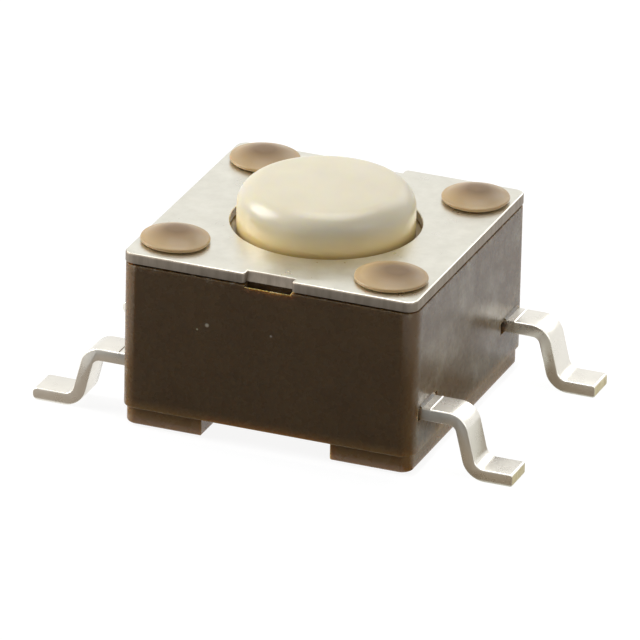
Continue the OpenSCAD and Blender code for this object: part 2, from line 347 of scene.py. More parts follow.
# %% The stepped pocket in its top
def pocket(bm):
    top = max(bm.faces, key=lambda face: face.calc_center_median().z)
    around = list(top.edges)
    bmesh.ops.delete(bm, geom=[top], context="FACES_ONLY")
    mouth = ring_of_edges(bm, POCKET_R, SEAT_Z)
    bmesh.ops.triangle_fill(bm, use_beauty=True, edges=around + mouth)
    levels = [(POCKET_R, LEDGE_Z), (DOME_SEAT_R, LEDGE_Z), (DOME_SEAT_R, FLOOR_Z)]
    above = mouth
    for radius, height in levels:
        below = ring_of_edges(bm, radius, height)
        bmesh.ops.bridge_loops(bm, edges=above + below)
        above = below
    bmesh.ops.contextual_create(bm, geom=above)
    return bm


# %% [markdown]
# A terminal strip starts as flat plated brass, is bent twice at each end, and lies
# in the moulding from one foot to the other. Its side view says everything, so the
# outline is drawn once, extruded over the width and rounded at each bend with the
# bend's own radius. Inside, the front strip carries two pads under the dome's feet,
# and the back strip a tongue with the centre contact.

# %% One strip from foot to foot
LEG_REACH = 0.8
LEG_LEAN = 0.26
LEFT_FOOT_EXTRA = 0.07
FOOT_TIP_X = {1: lead_high.x, -1: lead_high.x + LEFT_FOOT_EXTRA}
UPPER_BEND_R = 0.15
LOWER_BEND_R = 0.2
TIP_R = {1: 0.05, -1: 0.1}
BEND_STEPS = 8
LEG_SLOPE = LEG_LEAN / LEAD_Z
LEG_HALF = LEAD_T / 2 * math.hypot(1, LEG_SLOPE)


def leg_x(z, face):
    """Where the leg's outer face (1) or inner face (-1) is at a height."""
    return BODY_X + LEG_REACH + (LEAD_Z + LEAD_T / 2 - z) * LEG_SLOPE + face * LEG_HALF


def strip_corners(side):
    """Corners (x, z, radius) of one end's outline, from its top round to its underside."""
    corners = [
        (leg_x(LEAD_TOP_Z, 1), LEAD_TOP_Z, UPPER_BEND_R + LEAD_T),
        (leg_x(LEAD_T, 1), LEAD_T, LOWER_BEND_R),
        (FOOT_TIP_X[side], LEAD_T, TIP_R[side]),
        (FOOT_TIP_X[side], 0, TIP_R[side]),
        (leg_x(0, -1), 0, LOWER_BEND_R + LEAD_T),
        (leg_x(LEAD_Z, -1), LEAD_Z, UPPER_BEND_R),
    ]
    return [(side * x, z, radius) for x, z, radius in corners]


def bent_strip():
    """The whole strip, still straight across, centred on Y."""
    corners = strip_corners(1) + strip_corners(-1)[::-1]
    bm = bmesh.new()
    verts = [bm.verts.new((x, -LEAD_W / 2, z)) for x, z, radius in corners]
    push_out(bm, [bm.faces.new(verts)], (0, LEAD_W, 0), keep=True)
    for x, z, radius in corners:
        spot = Vector((x, 0, z))
        edge = min(bm.edges, key=lambda e: ((e.verts[0].co + e.verts[1].co) / 2 - spot).length)
        reach = radius * math.tan(edge.calc_face_angle() / 2)
        round_edges(bm, [edge], reach, BEND_STEPS)
    return bm


# %% Pads, tongue and centre contact, and the soft edges of the visible ends
CONTACT_W = 0.8
DOME_FOOT = DOME_R * math.cos(math.radians(45))
INNER_END = BODY_X - SLOT_DEPTH
STRIP_EDGE = 0.022
PIP_R = 0.3
PIP_H = 0.09
WITNESS_X = BODY_X + 0.2
WITNESS_W = 0.018
WITNESS_H = 0.012
SQUARE_TURN = 1.2


def inner_side(bm, inward):
    """The strip's flat side face that looks towards the middle of the switch."""
    return [f for f in bm.faces if f.normal.y * inward > FACING and abs(f.calc_center_median().y) < LEAD_W]


def terminal_strip(row):
    bm = bent_strip()
    inward = -row
    cuts = [0.5 * CONTACT_W] if row > 0 else [DOME_FOOT - CONTACT_W / 2, DOME_FOOT + CONTACT_W / 2]
    for x in cuts + [INNER_END] + [WITNESS_X + step * WITNESS_W for step in (-1, 0, 1)]:
        for side in (-1, 1):
            cut(bm, list(bm.faces), (side * x, 0, 0), (1, 0, 0))
    for vert in bm.verts:
        if abs(abs(vert.co.x) - WITNESS_X) < WELD and vert.co.z > LEAD_TOP_Z - WELD:
            vert.co.z += WITNESS_H
    low, high = (0, cuts[0]) if row > 0 else cuts
    pads = [f for f in inner_side(bm, inward) if low <= abs(f.calc_center_median().x) < high]
    reach = (LEAD_Y if row > 0 else LEAD_Y - DOME_FOOT) + CONTACT_W / 2 - LEAD_W / 2
    push_out(bm, pads, (0, inward * reach, 0))
    rims = [e for e in bm.edges if e.is_manifold and e.calc_face_angle() > SQUARE_TURN
            and all(abs(v.co.x) > INNER_END - WELD for v in e.verts)
            and abs(e.verts[0].co.y - e.verts[1].co.y) < WELD]
    round_edges(bm, rims, STRIP_EDGE, 3)
    bmesh.ops.translate(bm, vec=(0, row * LEAD_Y, 0), verts=bm.verts)
    if row > 0:
        ends = [e for e in bm.edges if all(v.co.y < -CONTACT_W / 2 + WELD for v in e.verts)
                and abs(e.verts[0].co.z - e.verts[1].co.z) > LEAD_T / 2]
        round_edges(bm, ends, CONTACT_W / 2 - 2 * WELD, 10)
        middle = LEAD_Z + LEAD_T / 2
        shoulder = LEAD_TOP_Z + PIP_H / 2
        contact = turned([(0, middle), (PIP_R, middle), (PIP_R, shoulder)]
                         + arc((PIP_R - PIP_H / 2, shoulder), PIP_H / 2, 0, 90, 5)
                         + [(0, LEAD_TOP_Z + PIP_H)], 48)
        bm = combined(bm, contact, "UNION")
    return bm


# %% Both strips, and the housing cut to fit them
strips = {-1: terminal_strip(-1), 1: terminal_strip(1)}
moulding = pocket(terminal_roots(block_on_rails()))
for row in strips:
    moulding = combined(moulding, strips[row], "DIFFERENCE")
    moulding = combined(moulding, notch_recess(row), "DIFFERENCE")
open_edges = [edge for edge in moulding.edges if not edge.is_manifold]
print("housing volume", round(moulding.calc_volume(), 2), "mm3, open edges", len(open_edges))
housing_moulding = show("housing_moulding", moulding)
front_terminals = show("front_terminals", strips[-1])
back_terminals = show("back_terminals", strips[1])

# %% [markdown]
# Four posts of the housing pass through the cover, and a hot punch has spread their
# ends into heads that hold it down. No two come out the same: they sit a little off
# their holes, are not quite round, and the punch leaves a faint dish. Each one is
# turned from the same outline, then nudged out of round, while its post stays in the
# middle of its hole.

# %% The staked heads
POST_AT = BODY_X - 0.8
POST_R = 0.35
HEAD_RIM = 0.07
HEAD_RISE = 0.2
HEAD_EDGE_R = 0.04
HEAD_UNDERCUT = 0.09
CROWN_START = 0.955
CROWN_POWER = 2.2
CROWN_STEPS = 15
DISH_WIDTH = 0.55
BULGE_NARROWNESS = 8
THREE_SIDED = 0.6
HEADS = {
    "front_left": {"at": (-2.27, -2.09), "radius": 0.67, "oval": 0.012, "turn": 40,
                   "dish": (0.02, 0.05, 0.012), "bulge": (-35, 0.07)},
    "front_right": {"at": (2.17, -2.12), "radius": 0.70, "oval": 0.010, "turn": 10,
                    "dish": (0.10, 0.02, 0.05), "bulge": (170, 0.03)},
    "back_left": {"at": (-2.18, 2.24), "radius": 0.69, "oval": 0.012, "turn": 75,
                  "dish": (0, 0, 0.015), "bulge": (30, 0.02)},
    "back_right": {"at": (2.25, 2.13), "radius": 0.67, "oval": 0.010, "turn": 120,
                   "dish": (0.03, 0.04, 0.02), "bulge": (-60, 0.03)},
}


def head_profile(radius):
    """A post with its spread head: a thin undercut rim and a crown that swells like a lens."""
    rim_z = COVER_TOP_Z + HEAD_RIM
    crown = []
    for step in range(1, CROWN_STEPS):
        share = CROWN_START * (1 - step / CROWN_STEPS)
        crown.append((radius * share, rim_z + HEAD_RISE * (1 - share ** CROWN_POWER)))
    return ([(0, SEAT_Z), (POST_R, SEAT_Z), (POST_R, COVER_TOP_Z), (radius - HEAD_UNDERCUT, COVER_TOP_Z)]
            + arc((radius - HEAD_EDGE_R, rim_z), HEAD_EDGE_R, -60, 62, 8)
            + crown
            + [(0, rim_z + HEAD_RISE)])


def staked_head(name, at, radius, oval, turn, dish, bulge):
    """Turns one head, then pushes it out of round and presses the punch's faint dish into it."""
    bm = turned(head_profile(radius), 72)
    toward = math.radians(bulge[0])
    # Each point's share of the way from the dish to the rim carries the painted rim light.
    thin = bm.verts.layers.float.new("thin")
    for vert in bm.verts:
        vert[thin] = min(1, math.hypot(vert.co.x - dish[0], vert.co.y - dish[1]) / radius)
        angle = math.atan2(vert.co.y, vert.co.x)
        if math.hypot(vert.co.x, vert.co.y) > POST_R + WELD:
            lean = math.radians(turn)
            wave = math.cos(2 * angle + lean) + THREE_SIDED * math.cos(3 * angle - lean)
            side = math.cos(angle - toward)
            grow = 1 + oval * wave + bulge[1] * math.exp(-BULGE_NARROWNESS * (1 - side))
            vert.co.x *= grow
            vert.co.y *= grow
        if vert.co.z > COVER_TOP_Z + HEAD_RIM:
            apart = math.hypot(vert.co.x - dish[0], vert.co.y - dish[1]) / (DISH_WIDTH * radius)
            vert.co.z -= dish[2] * math.exp(-apart ** 2)
    post = [v for v in bm.verts
            if math.hypot(v.co.x, v.co.y) <= POST_R + WELD and v.co.z < COVER_TOP_Z + WELD]
    bmesh.ops.translate(bm, vec=(at[0], at[1], 0), verts=bm.verts)
    home = [math.copysign(POST_AT, place) - place for place in at]
    bmesh.ops.translate(bm, vec=(*home, 0), verts=post)
    return show("staked_head_" + name, bm)


staked_heads = [staked_head(name, **shape) for name, shape in HEADS.items()]

# %% [markdown]
# The cover is a blanked sheet. A flat square with two notches is all its outline
# needs, with its corners rounded. Raising it in small insets then rolls the upper
# edge over, which is how the press leaves it, and the holes are left out when the
# top and the underside are filled in.

# %% The cover plate
COVER_W = cover_high.x - cover_low.x
COVER_CORNER_R = 0.22
COVER_EDGE_R = 0.04
COVER_EDGE_STEPS = 5
NOTCH_R = 0.08
NOTCH_LEAN = 0.05
BUTTON_HOLE_R = 1.85
POST_HOLE_R = 0.4
HOLE_EDGE = 0.015


def cover_outline():
    """A flat face with the cover's outline at the height of its underside."""
    bm = bmesh.new()
    bmesh.ops.create_grid(bm, x_segments=1, y_segments=1, size=COVER_W / 2)
    for side in (-1, 1):
        cut(bm, list(bm.faces), (side * NOTCH_W / 2, 0, 0), (1, 0, 0))
        cut(bm, list(bm.faces), (0, side * (COVER_W / 2 - NOTCH_D), 0), (0, 1, 0))
    notches = [f for f in bm.faces if abs(f.calc_center_median().x) < NOTCH_W / 2
               and abs(f.calc_center_median().y) > COVER_W / 2 - NOTCH_D]
    bmesh.ops.delete(bm, geom=notches, context="FACES")
    bmesh.ops.dissolve_limit(bm, angle_limit=0.01, verts=bm.verts, edges=bm.edges)
    mouths = [v for v in bm.verts if abs(v.co.x) < NOTCH_W and abs(v.co.y) > COVER_W / 2 - WELD]
    corners = [v for v in bm.verts if abs(v.co.x) > COVER_W / 2 - WELD]
    for verts, radius in ((mouths, NOTCH_R), (corners, COVER_CORNER_R)):
        bmesh.ops.bevel(bm, geom=verts, offset=radius, offset_type="OFFSET", segments=7,
                        profile=0.5, affect="VERTICES", material=-1)
    bmesh.ops.translate(bm, vec=(0, 0, SEAT_Z), verts=bm.verts)
    return bm


def cover_plate():
    bm = cover_outline()
    sheet_t = COVER_TOP_Z - SEAT_Z
    raised = push_out(bm, list(bm.faces), (0, 0, sheet_t - COVER_EDGE_R), keep=True)
    for step in range(COVER_EDGE_STEPS):
        before = math.radians(90 * step / COVER_EDGE_STEPS)
        after = math.radians(90 * (step + 1) / COVER_EDGE_STEPS)
        bmesh.ops.inset_region(bm, faces=raised, use_even_offset=True,
                               thickness=COVER_EDGE_R * (math.cos(before) - math.cos(after)),
                               depth=COVER_EDGE_R * (math.sin(after) - math.sin(before)))
    for vert in bm.verts:
        at_wall = abs(vert.co.x) < NOTCH_W / 2 + WELD and abs(abs(vert.co.y) - COVER_W / 2 + NOTCH_D) < WELD
        if at_wall and vert.co.z < SEAT_Z + WELD:
            vert.co.y += math.copysign(NOTCH_LEAN, vert.co.y)
    flats = [f for f in bm.faces if abs(f.normal.z) > FACING and f.calc_area() > LARGE_FACE]
    holes = [((0, 0), BUTTON_HOLE_R, 128)]
    holes += [((x * POST_AT, y * POST_AT), POST_HOLE_R, 32) for x in (-1, 1) for y in (-1, 1)]
    for flat in flats:
        height = flat.calc_center_median().z
        rings = list(flat.edges)
        bmesh.ops.delete(bm, geom=[flat], context="FACES_ONLY")
        for centre, radius, segments in holes:
            rings += ring_of_edges(bm, radius + HOLE_EDGE, height, centre, segments)
        bmesh.ops.triangle_fill(bm, use_beauty=True, edges=rings)
    for centre, radius, segments in holes:
        near = [e for e in bm.edges if e.is_boundary and all(
            abs(math.dist(v.co.xy, centre) - radius - HOLE_EDGE) < WELD for v in e.verts)]
        for level, lift in ((SEAT_Z, 1), (COVER_TOP_Z, -1)):
            outer = [e for e in near if abs(e.verts[0].co.z - level) < WELD]
            inner = ring_of_edges(bm, radius, level + lift * HOLE_EDGE, centre, segments)
            bmesh.ops.bridge_loops(bm, edges=outer + inner)
        walls = [e for e in bm.edges if e.is_boundary]
        bmesh.ops.bridge_loops(bm, edges=[e for e in walls if all(
            abs(math.dist(v.co.xy, centre) - radius) < WELD for v in e.verts)])
    return bm


sheet = cover_plate()
print("cover top at", round(max(v.co.z for v in sheet.verts), 3), "mm, open edges",
      len([e for e in sheet.edges if not e.is_manifold]))
cover_sheet = show("cover_sheet", sheet)

# %% [markdown]
# The button was turned in the toolmaker's lathe before it was ever moulded, so it is
# turned here too: a nub that presses the dome, a flange that the cover holds down,
# and a stem with a slight crown that runs smoothly into a generous edge.

# %% The button
BUTTON_R = 1.725
BUTTON_EDGE_R = 0.45
BUTTON_CROWN_R = 16
FLANGE_R = 2.35
FLANGE_T = 0.6
FLANGE_ROUND = 0.04
FLANGE_TOP_Z = SEAT_Z - 0.02
NUB_R = 0.75
NUB_ROUND = 0.1
BUTTON_TOP_Z = button_high.z


def button_profile():
    crown_centre = BUTTON_TOP_Z - BUTTON_CROWN_R
    edge_across = BUTTON_R - BUTTON_EDGE_R
    to_edge = BUTTON_CROWN_R - BUTTON_EDGE_R
    edge_up = crown_centre + math.sqrt(to_edge ** 2 - edge_across ** 2)
    meet = math.degrees(math.atan2(edge_up - crown_centre, edge_across))
    flange_low = FLANGE_TOP_Z - FLANGE_T
    return ([(0, button_low.z)]
            + arc((NUB_R - NUB_ROUND, button_low.z + NUB_ROUND), NUB_ROUND, -90, 0, 5)
            + [(NUB_R, flange_low)]
            + arc((FLANGE_R - FLANGE_ROUND, flange_low + FLANGE_ROUND), FLANGE_ROUND, -90, 0, 3)
            + arc((FLANGE_R - FLANGE_ROUND, FLANGE_TOP_Z - FLANGE_ROUND), FLANGE_ROUND, 0, 90, 3)
            + [(BUTTON_R, FLANGE_TOP_Z)]
            + arc((edge_across, edge_up), BUTTON_EDGE_R, 0, meet, 16)
            + arc((0, crown_centre), BUTTON_CROWN_R, meet, 90, 12)[1:-1]
            + [(0, BUTTON_TOP_Z)])


button_cap = show("button_cap", turned(button_profile(), 128))

# %% [markdown]
# Under the button lies the click itself: a springy steel dome with four trimmed
# sides, and over it a thin rubber seal whose rim rests on the ledge. Both are shells
# of one sphere each, so both are turned, and the dome's sides are sliced off.

# %% The seal and the snap dome
SEAL_T = 0.12
DOME_T = 0.06
DOME_FLAT = dome_high.x
DOME_RISE = dome_high.z - dome_low.z
DOME_SPHERE_R = (DOME_R ** 2 + DOME_RISE ** 2) / (2 * DOME_RISE)
DOME_CENTRE_Z = dome_high.z - DOME_SPHERE_R
SEAL_SPHERE_R = DOME_SPHERE_R + 0.02
SEAL_R = seal_high.x
CAP_STEPS = 24


def cap_line(sphere_r, rim_z):
    """Points from the top of a sphere round the dome's centre down to a height."""
    rim = math.degrees(math.asin((rim_z - DOME_CENTRE_Z) / sphere_r))
    return [(max(0, x), z) for x, z in arc((0, DOME_CENTRE_Z), sphere_r, 90, rim, CAP_STEPS)]


seal_line = (cap_line(SEAL_SPHERE_R + SEAL_T, LEDGE_Z + SEAL_T)
             + [(SEAL_R, LEDGE_Z + SEAL_T), (SEAL_R, LEDGE_Z)]
             + cap_line(SEAL_SPHERE_R, LEDGE_Z)[::-1])
dome_line = cap_line(DOME_SPHERE_R, FLOOR_Z) + cap_line(DOME_SPHERE_R - DOME_T, FLOOR_Z)[::-1]
seal_diaphragm = show("seal_diaphragm", turned(seal_line, 72))
disc = turned(dome_line, 72)
for side in (Vector((1, 0, 0)), Vector((-1, 0, 0)), Vector((0, 1, 0)), Vector((0, -1, 0))):
    made = bmesh.ops.bisect_plane(disc, geom=disc.verts[:] + disc.edges[:] + disc.faces[:], dist=WELD,
                                  plane_co=side * DOME_FLAT, plane_no=side, clear_outer=True)
    rim_edges = [item for item in made["geom_cut"] if isinstance(item, bmesh.types.BMEdge)]
    bmesh.ops.holes_fill(disc, edges=rim_edges)
snap_disc = show("snap_disc", disc)

# %% [markdown]
# A finish is a short chain of nodes: the place on the piece feeds a noise, the noise
# varies the colour and the roughness a little, and a finer noise lifts the surface.
# Everything is scaled in millimetres, so a value of 5 means five grains to one.

# %% Helpers for the finishes
PER_MM = 1000
NOISE_LOW = 0.3
NOISE_HIGH = 0.7


class Finish:
    """A material with its shader, and short words for the nodes that feed it."""

    def __init__(self, name, **sockets):
        self.material = bpy.data.materials.new(name)
        self.material.use_nodes = True
        self.tree = self.material.node_tree
        self.shader = self.tree.nodes["Principled BSDF"]
        self.place = self.tree.nodes.new("ShaderNodeTexCoord").outputs["Object"]
        for socket, value in sockets.items():
            self.shader.inputs[socket.replace("_", " ")].default_value = value
        print("finish", name)

    def link(self, source, target):
        self.tree.links.new(source, target)

    def split_place(self):
        """The place on the piece as its three distances along X, Y and Z."""
        made = self.tree.nodes.new("ShaderNodeSeparateXYZ")
        self.link(self.place, made.inputs[0])
        return made.outputs[0], made.outputs[1], made.outputs[2]

    def stretched(self, stretch):
        """The place on the piece, drawn out by a factor along each axis."""
        mapping = self.tree.nodes.new("ShaderNodeMapping")
        mapping.inputs["Scale"].default_value = stretch
        self.link(self.place, mapping.inputs["Vector"])
        return mapping.outputs["Vector"]

    def noise(self, grains, detail=3.0, roughness=0.55, vector=None):
        """A noise with so many grains to a millimetre."""
        made = self.tree.nodes.new("ShaderNodeTexNoise")
        made.inputs["Scale"].default_value = grains * PER_MM
        made.inputs["Detail"].default_value = detail
        made.inputs["Roughness"].default_value = roughness
        self.link(vector or self.place, made.inputs["Vector"])
        return made.outputs["Fac"]

    def ramp(self, factor, *colours):
        """A colour that runs from one to the other over the stretch that a noise really uses."""
        made = self.tree.nodes.new("ShaderNodeValToRGB")
        for element, position, colour in zip(made.color_ramp.elements, (NOISE_LOW, NOISE_HIGH), colours):
            element.position = position
            element.color = (*colour, 1)
        self.link(factor, made.inputs["Fac"])
        return made.outputs["Color"]

    def span(self, factor, low, high, start=0.0, end=1.0):
        """A value that runs from low to high as the factor runs from start to end."""
        made = self.tree.nodes.new("ShaderNodeMapRange")
        for socket, value in zip(("From Min", "From Max", "To Min", "To Max"), (start, end, low, high)):
            made.inputs[socket].default_value = value
        self.link(factor, made.inputs["Value"])
        return made.outputs["Result"]

    def blend(self, factor, one, other):
        """Mixes two colours."""
        made = self.tree.nodes.new("ShaderNodeMix")
        made.data_type = "RGBA"
        self.feed(made.inputs[0], factor)
        self.feed(made.inputs[6], one)
        self.feed(made.inputs[7], other)
        return made.outputs[2]

    def feed(self, target, value):
        """Links a node's output, or sets a plain value."""
        if isinstance(value, bpy.types.NodeSocket):
            self.link(value, target)
        elif isinstance(value, tuple):
            target.default_value = (*value, 1)
        else:
            target.default_value = value

    def reckon(self, operation, *values):
        """The result of a sum on one or two values."""
        made = self.tree.nodes.new("ShaderNodeMath")
        made.operation = operation
        for socket, value in zip(made.inputs, values):
            self.feed(socket, value)
        return made.outputs[0]

    def colour(self, value):
        self.link(value, self.shader.inputs["Base Color"])

    def roughness(self, grains, low, high):
        """Lets a noise carry the roughness between two values."""
        value = self.span(self.noise(grains), low, high, NOISE_LOW, NOISE_HIGH)
        self.link(value, self.shader.inputs["Roughness"])

    def lift(self, height, distance):
        """Bumps the surface by so many millimetres, on top of any bump before."""
        bump = self.tree.nodes.new("ShaderNodeBump")
        bump.inputs["Distance"].default_value = distance * MM
        bump.inputs["Strength"].default_value = 1
        self.link(height, bump.inputs["Height"])
        before = self.shader.inputs["Normal"]
        if before.is_linked:
            self.link(before.links[0].from_socket, bump.inputs["Normal"])
        self.link(bump.outputs["Normal"], before)


# %% [markdown]
# The housing is a dark olive brown moulding. Light gets a little way into it, so its
# corners and its rails look warmer and paler than its walls. Light under the surface
# does part of that, and a painted glow lifts the colour there too: the product of a
# place's X and Y is largest at the upright corners, so it finds them, and the rails
# are found by their height. A few pale specks of dust stick to its front, fine pale
# flecks lie along the band under the cover, and its right wall carries pale streaks.

# %% Housing plastic
SPECKS = [((-1.22, -3.0, 2.40), 0.05), ((-1.42, -3.0, 2.28), 0.026), ((0.09, -3.0, 2.41), 0.028)]
PAINTED_GLOW_BROWN = (0.235, 0.138, 0.052)
PALE_SPECK = (0.6, 0.54, 0.43)
RIGHT_WALL_STREAK = (0.32, 0.28, 0.22)

housing_plastic = Finish("housing_plastic", Subsurface_Weight=0.8, Subsurface_Scale=0.00055,
                         Subsurface_Radius=(1.0, 0.6, 0.25), Specular_IOR_Level=0.42)
brown = housing_plastic.ramp(housing_plastic.noise(0.9), (0.11, 0.065, 0.026), (0.126, 0.075, 0.03))
across, along, height = housing_plastic.split_place()
product = housing_plastic.reckon("ABSOLUTE", housing_plastic.reckon("MULTIPLY", across, along))
# Painted glow at the upright corners, standing in for light through the plastic.
painted_corner_glow = housing_plastic.span(product, 0, 1, 8.0 * MM ** 2, 9.0 * MM ** 2)
brown = housing_plastic.blend(painted_corner_glow, brown, PAINTED_GLOW_BROWN)
# Painted glow low down on the rails, standing in for light from below.
low = housing_plastic.span(height, 1, 0, 0.4 * MM, 0.6 * MM)
brown = housing_plastic.blend(low, brown, PAINTED_GLOW_BROWN)
for centre, radius in SPECKS:
    apart = housing_plastic.tree.nodes.new("ShaderNodeVectorMath")
    apart.operation = "DISTANCE"
    housing_plastic.link(housing_plastic.place, apart.inputs[0])
    apart.inputs[1].default_value = [value * MM for value in centre]
    near = housing_plastic.span(apart.outputs["Value"], 0.85, 0.0, radius * 0.4 * MM, radius * MM)
    brown = housing_plastic.blend(near, brown, PALE_SPECK)
# Pale flecks in a band just under the cover.
flecks = housing_plastic.span(housing_plastic.noise(5, 4, 0.7), 0, 0.3, 0.56, 0.66)
seam = housing_plastic.span(height, 0, 1, 3.2 * MM, 3.34 * MM)
brown = housing_plastic.blend(housing_plastic.reckon("MULTIPLY", flecks, seam), brown, PALE_SPECK)
# Pale streaks on the right wall only.
pale_streaks = housing_plastic.span(housing_plastic.noise(1.8, 5, 0.68), 0, 0.5, 0.46, 0.66)
right_wall = housing_plastic.span(across, 0, 1, 2.92 * MM, 2.97 * MM)
brown = housing_plastic.blend(housing_plastic.reckon("MULTIPLY", pale_streaks, right_wall), brown, RIGHT_WALL_STREAK)
housing_plastic.colour(brown)
housing_plastic.roughness(4, 0.24, 0.31)
housing_plastic.lift(housing_plastic.noise(10, 2), 0.0006)
housing_plastic.lift(housing_plastic.noise(1.2, 1), 0.004)

# %% [markdown]
# The heads are the same plastic, spread by the hot punch and duller. They are painted
# paler than the housing, and paler still towards the rim: painted top light and sheen.

# %% Staked plastic
staked_plastic = Finish("staked_plastic", Subsurface_Weight=0.4, Subsurface_Scale=0.00016,
                        Subsurface_Radius=(1.0, 0.6, 0.25), Specular_IOR_Level=0.32)
towards_rim = staked_plastic.tree.nodes.new("ShaderNodeAttribute")
towards_rim.attribute_name = "thin"
# The tan is the housing's plastic painted paler, as painted top light on the heads.
tan = staked_plastic.ramp(staked_plastic.noise(1.3), (0.148, 0.086, 0.034), (0.172, 0.102, 0.042))
# Painted rim light: paler towards the rim, as painted highlight and sheen.
thin = staked_plastic.span(towards_rim.outputs["Fac"], 0, 1, 0.3, 0.95)
staked_plastic.colour(staked_plastic.blend(thin, tan, (0.40, 0.285, 0.15)))
staked_plastic.roughness(4, 0.32, 0.4)
staked_plastic.lift(staked_plastic.noise(5, 2), 0.0006)

# %% [markdown]
# The cover is thin stainless sheet: a bright metal with a satin, slightly mottled
# skin, which mirrors the button only softly.

# %% Cover steel
cover_steel = Finish("cover_steel", Metallic=1.0)
mottle = cover_steel.noise(3.5, 5, 0.65)
cover_steel.colour(cover_steel.ramp(mottle, (0.665, 0.645, 0.56), (0.74, 0.72, 0.635)))
cover_steel.roughness(2.5, 0.27, 0.34)
cover_steel.lift(cover_steel.noise(7, 2), 0.0002)
cover_steel.lift(cover_steel.noise(0.8, 2), 0.004)

# %% [markdown]
# The press sheared the cover's outline, so its edge is bare, darker steel with fine
# upright scratches from the die.

# %% Sheared edge
sheared_steel = Finish("sheared_steel", Metallic=1.0, Roughness=0.5)
drag = sheared_steel.noise(9, 3, 0.6, sheared_steel.stretched((1, 1, 0.15)))
sheared_steel.colour(sheared_steel.ramp(drag, (0.22, 0.185, 0.145), (0.31, 0.265, 0.215)))
sheared_steel.lift(drag, 0.0015)

# %% [markdown]
# The button is a cream plastic that light goes into. Its top is pale. Its sides are
# painted golden towards the hole, for light that comes through the plastic into their
# shade, and painted shade darkens it below the cover, so the colour follows the height.

# %% Button plastic
button_plastic = Finish("button_plastic", Subsurface_Weight=0.6, Subsurface_Scale=0.0003,
                        Subsurface_Radius=(1.0, 0.7, 0.2))
height = button_plastic.split_place()[2]
cream = button_plastic.ramp(button_plastic.noise(1.1, 2), (0.59, 0.54, 0.405), (0.62, 0.57, 0.435))
# Painted golden shade on the sides towards the hole.
side = button_plastic.span(height, 1, 0, 3.62 * MM, 4.1 * MM)
cream = button_plastic.blend(side, cream, (0.78, 0.60, 0.27))
# Painted shade below the cover, where no light reaches.
painted_shade_below_cover = button_plastic.span(height, 1, 0, 3.42 * MM, 3.6 * MM)
cream = button_plastic.blend(painted_shade_below_cover, cream, (0.3, 0.21, 0.09))
button_plastic.colour(cream)
button_plastic.roughness(3, 0.28, 0.34)
button_plastic.lift(button_plastic.noise(0.7, 1), 0.001)

# %% [markdown]
# The terminals are brass with a satin silver plating. Their cut ends were sheared
# after plating, so they show the yellow metal inside.

# %% Terminal plating and bare brass
lead_plating = Finish("lead_plating", Metallic=1.0)
lead_plating.colour(lead_plating.ramp(lead_plating.noise(2), (0.78, 0.75, 0.675), (0.82, 0.79, 0.715)))
lead_plating.roughness(3, 0.25, 0.33)
lead_plating.lift(lead_plating.noise(8, 2), 0.0003)
bare_brass = Finish("bare_brass", Metallic=1.0, Roughness=0.35)
grain = bare_brass.noise(12, 3, 0.6, bare_brass.stretched((1, 1, 0.25)))
bare_brass.colour(bare_brass.ramp(grain, (0.62, 0.52, 0.30), (0.80, 0.72, 0.50)))
bare_brass.lift(bare_brass.noise(16, 2), 0.003)

# %% [markdown]
# Nobody sees the seal or the dome in a closed switch, but they are finished too:
# matt black rubber, and bright spring steel with a faint rolled grain.

# %% Seal rubber and dome steel
seal_rubber = Finish("seal_rubber", Roughness=0.7)
seal_rubber.colour(seal_rubber.ramp(seal_rubber.noise(5), (0.012, 0.012, 0.013), (0.028, 0.028, 0.03)))
seal_rubber.lift(seal_rubber.noise(20), 0.004)
dome_steel = Finish("dome_steel", Metallic=1.0, Roughness=0.22)
grain = dome_steel.noise(10, 4, 0.6, dome_steel.stretched((1, 0.08, 1)))
dome_steel.colour(dome_steel.ramp(grain, (0.55, 0.54, 0.52), (0.68, 0.67, 0.65)))
dome_steel.lift(grain, 0.001)

# %% [markdown]
# The record names each piece's finish, body, slot and the imported nodes that it
# stands for. Each piece is given its finish and its body, and those nodes are hidden.
# The dome and the seal flatten as the button goes down; here each gets its own mesh.

# %% Dress the pieces and let them ride
FOOT_END_DEPTH = 0.02
FOOT_END_TILT = 0.9
SHEARED_DEPTH = NOTCH_D + 0.02
SHEARED_TILT = 0.75
RECORD = [
    (housing_moulding, housing_plastic, "base", "housing_plastic", ["housing"]),
    (cover_sheet, cover_steel, "base", "cover_steel", ["cover_plate"]),
    (button_cap, button_plastic, "button", "button_plastic", ["button"]),
    (front_terminals, lead_plating, "base", "lead_plating", ["front_lead"]),
    (back_terminals, lead_plating, "base", "lead_plating", ["back_lead"]),
    (seal_diaphragm, seal_rubber, "base", "seal_rubber", ["seal_sheet"]),
    (snap_disc, dome_steel, "base", "dome_steel", ["snap_dome"]),
]
RECORD += [(head, staked_plastic, "base", "housing_plastic", []) for head in staked_heads]
for piece, finish, body, slot, nodes in RECORD:
    piece.data.materials.append(finish.material)
    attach(piece, body)
    if nodes:
        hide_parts(*nodes)
print(len(RECORD), "pieces dressed")

for terminals in (front_terminals, back_terminals):
    terminals.data.materials.append(bare_brass.material)
    for face in terminals.data.polygons:
        at_tip = abs(face.center.x) > (lead_high.x - FOOT_END_DEPTH) * MM
        if at_tip and abs(face.normal.x) > FOOT_END_TILT:
            face.material_index = 1

cover_sheet.data.materials.append(sheared_steel.material)
for face in cover_sheet.data.polygons:
    outside = max(abs(face.center.x), abs(face.center.y)) > (COVER_W / 2 - SHEARED_DEPTH) * MM
    if outside and abs(face.normal.z) < SHEARED_TILT:
        face.material_index = 1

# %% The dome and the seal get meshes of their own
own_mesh(snap_disc)
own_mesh(seal_diaphragm)

# %% [markdown]
# The photograph has a pure white ground. The floor and the world are white for the
# camera and for mirrored rays, and send a little light back to the switch.

